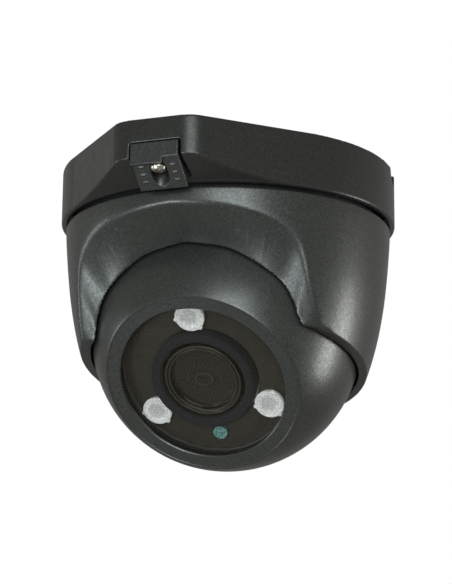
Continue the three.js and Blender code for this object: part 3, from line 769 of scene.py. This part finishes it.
def led_mask():
    body = disc(29, 26, 27, AROUND)
    cut(body, disc(18.5, 25, 28, AROUND), moved(disc(2.9, 25, 28), 0, PHOTOCELL_Y, 0))
    for k in range(LAMPS):
        x, y = around(180 + 360 / LAMPS * k, LAMP_CIRCLE)
        cut(body, moved(disc(4.85, 25, 28), x, y, 0))
    show(on_ball(body), "ball", "mask_plastic", "led_mask", smooth_angle=30)


def led_lenses():
    for k in range(LAMPS):
        x, y = around(180 + 360 / LAMPS * k, LAMP_CIRCLE)
        top = [(5.15, 28.3), (5.15, 28.95), (4.9, 29.15), (4.2, 29.05), (2.6, 28.55), (1.2, 28.35),
               (0, 28.3)]
        profile = [(0, 25.4), (1.6, 25), (2.3, 23.2), (3.4, 23.2), (4.85, 28.1), *top]
        body = turned("optic", profile, 96)
        for j in range(3):
            tab_x, tab_y = around(35 + 120 * j, 5.0)
            boolean(body, moved(disc(0.75, 28.35, 29.0, 24), tab_x, tab_y, 0), "UNION")
        name = f"led_lens_{k + 1}"
        show(on_ball(moved(body, x, y, 0)), "ball", "clear_lens", name, smooth_angle=40)


def photocell():
    side = fillet([(2.5, 23), (2.5, 28.2), (1.7, 28.2), (1.5, 27.7)], 0.15, closed=False)
    body = moved(turned("photocell", [(0, 23), *side, (0, 27.9)], 64), 0, PHOTOCELL_Y, 0)
    show(on_ball(body), "ball", "teal_filter", "photocell", smooth_angle=40)


def lens_barrel():
    front = [(14.2, 23.2), (14.2, 28.2), (13.7, 28.9), (13.5, 29.35), (12.7, 29.35), (12.6, 28.7),
             (12.3, 28.6), (12.2, 29.0), (11.6, 29.0), (11.45, 27.3), (9.4, 27.2), (9.4, 26.4),
             (8.9, 26.2), (8.9, 25.4)]
    inner = [(8.3, 25.2), (8.3, 23.9), (7.6, 23.7), (7.6, 22), (7.0, 21.8), (7.0, 5.5)]
    rear = [(6, 5.5), (6, -2.7), (7.2, -2.7), (7.2, 3.6), (10.2, 3.6), (10.2, 21.8)]
    body = turned("barrel", fillet([*front, *inner, *rear], 0.15, 3))
    show(on_lens(body), "ball", "anodised", "lens_barrel", smooth_angle=30)


def dome(radius, edge, crown, steps=24):
    """Profile of a lens face: a flat arc from its edge to its middle."""
    curve = (radius**2 + crown**2) / (2 * crown)
    angles = np.linspace(math.asin(radius / curve), 0, steps)
    side = [(curve * math.sin(a), edge + crown - curve * (1 - math.cos(a))) for a in angles[:-1]]
    return [*side, (0, edge + crown)]


def glass_elements():
    """The front and rear lenses, and between them a second lens and the iris."""
    front = turned("front_glass", [(0, 26.9), (11.3, 26.9), *dome(11.3, 27.3, 0.8)])
    show(on_lens(front), "ball", "lens_glass", "front_element", smooth_angle=40)
    rear = turned("rear_glass", [(0, -1.8), (5.6, -1.8), *dome(5.6, 0.6, 0.6)], 64)
    show(on_lens(rear), "ball", "lens_glass", "rear_element", smooth_angle=40)
    second = turned("second_glass", [(0, 22.2), (6.95, 22.2), *dome(6.95, 22.6, 2.0)], 96)
    on_lens(second)
    second.name = second.data.name = "second_element"
    second.data.materials.append(MATERIALS["lens_glass"])
    second.data.polygons.foreach_set("use_smooth", [True] * len(second.data.polygons))
    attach(second, "ball")
    iris = turned("iris", fillet([(2.6, 19.4), (6.9, 18.6), (6.9, 19.2), (2.6, 19.9)], 0.1, 2), 96)
    on_lens(iris)
    iris.name = iris.data.name = "iris"
    iris.data.materials.append(MATERIALS["black_plastic"])
    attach(iris, "ball")


def rest_of_the_nodes():
    slots = {part["node"]: part["material_slot"] for part in frame["record"]["subparts"]}
    for name, node in frame["nodes"].items():
        node.data.materials.clear()
        node.data.materials.append(MATERIALS[slots[name]])


# ---- Camera, light and stage ------------------------------------------------------------------


def direction(azimuth, elevation):
    """A unit vector towards an azimuth, from the front, and an elevation, both in radians."""
    level = math.cos(elevation)
    return Vector((math.sin(azimuth) * level, -math.cos(azimuth) * level, math.sin(elevation)))


def camera():
    azimuth, elevation, roll = math.radians(20), math.radians(-13.7), math.radians(0.55)
    back = direction(azimuth, elevation)
    target = Vector((0, 0, -0.050))
    place = target + 0.7 * back
    side = Vector((0, 0, 1)).cross(back).normalized()
    up = back.cross(side)
    side, up = side * math.cos(roll) + up * math.sin(roll), up * math.cos(roll) - side * math.sin(roll)
    aim = target + 0.0081 * up - 0.00046 * side
    away = (place - aim).normalized()
    side = up.cross(away).normalized()
    up = away.cross(side)
    data = bpy.data.cameras.new("camera")
    data.lens = 122.1
    data.sensor_width = 36
    made = bpy.data.objects.new("camera", data)
    made.matrix_world = Matrix.Translation(place) @ Matrix((side, up, away)).transposed().to_4x4()
    bpy.context.scene.collection.objects.link(made)
    bpy.context.scene.camera = made


def area_light(name, azimuth, elevation, distance, size, power, color):
    a, e = math.radians(azimuth), math.radians(elevation)
    back = direction(a, e)
    data = bpy.data.lights.new(name, "AREA")
    data.shape = "RECTANGLE"
    data.size, data.size_y = size
    data.energy = power
    data.color = color
    made = bpy.data.objects.new(name, data)
    made.location = Vector((0, 0, -0.055)) + back * distance
    made.rotation_mode = "QUATERNION"
    made.rotation_quaternion = back.to_track_quat("Z", "Y")
    bpy.context.scene.collection.objects.link(made)


def world():
    made = bpy.data.worlds.new("studio")
    made.use_nodes = True
    tree = made.node_tree
    tree.nodes.clear()
    sky = tree.nodes.new("ShaderNodeBackground")
    sky.inputs["Color"].default_value = (1, 1, 1, 1)
    room = tree.nodes.new("ShaderNodeBackground")
    room.inputs["Color"].default_value = (1.0, 0.99, 0.95, 1)
    room.inputs["Strength"].default_value = 0.26
    path = tree.nodes.new("ShaderNodeLightPath")
    mix = tree.nodes.new("ShaderNodeMixShader")
    out = tree.nodes.new("ShaderNodeOutputWorld")
    tree.links.new(path.outputs["Is Camera Ray"], mix.inputs[0])
    tree.links.new(room.outputs[0], mix.inputs[1])
    tree.links.new(sky.outputs[0], mix.inputs[2])
    tree.links.new(mix.outputs[0], out.inputs["Surface"])
    bpy.context.scene.world = made


def floor():
    made = box((-4000, -4000, -1202), (4000, 4000, -1200), "floor")
    surface = Surface("floor", (0.72, 0.71, 0.69), 0.7)
    surface.paint(surface.mix(surface.noise(60), (0.70, 0.69, 0.67), (0.74, 0.73, 0.71)))
    made.data.materials.append(surface.material)


def studio():
    camera()
    world()
    floor()
    area_light("key", 115, -10, 0.8, (0.2, 0.34), 1.8, (1.0, 0.99, 0.98))
    area_light("front", 22, 4, 0.95, (0.5, 0.6), 4, (0.9, 0.96, 1.0))
    area_light("left", -75, -6, 0.9, (0.2, 0.4), 0.8, (0.95, 0.98, 1.0))
    area_light("low", -27, -30, 0.9, (0.3, 0.3), 2.2, (0.88, 0.95, 1.0))
    bpy.context.scene.view_settings.view_transform = "Standard"


studio()
rest_of_the_nodes()
mounting_base()
lock_clip()
clip_screw()
turret_cover()
ball_shells()
window()
lens_shroud()
led_mask()
led_lenses()
photocell()
lens_barrel()
glass_elements()
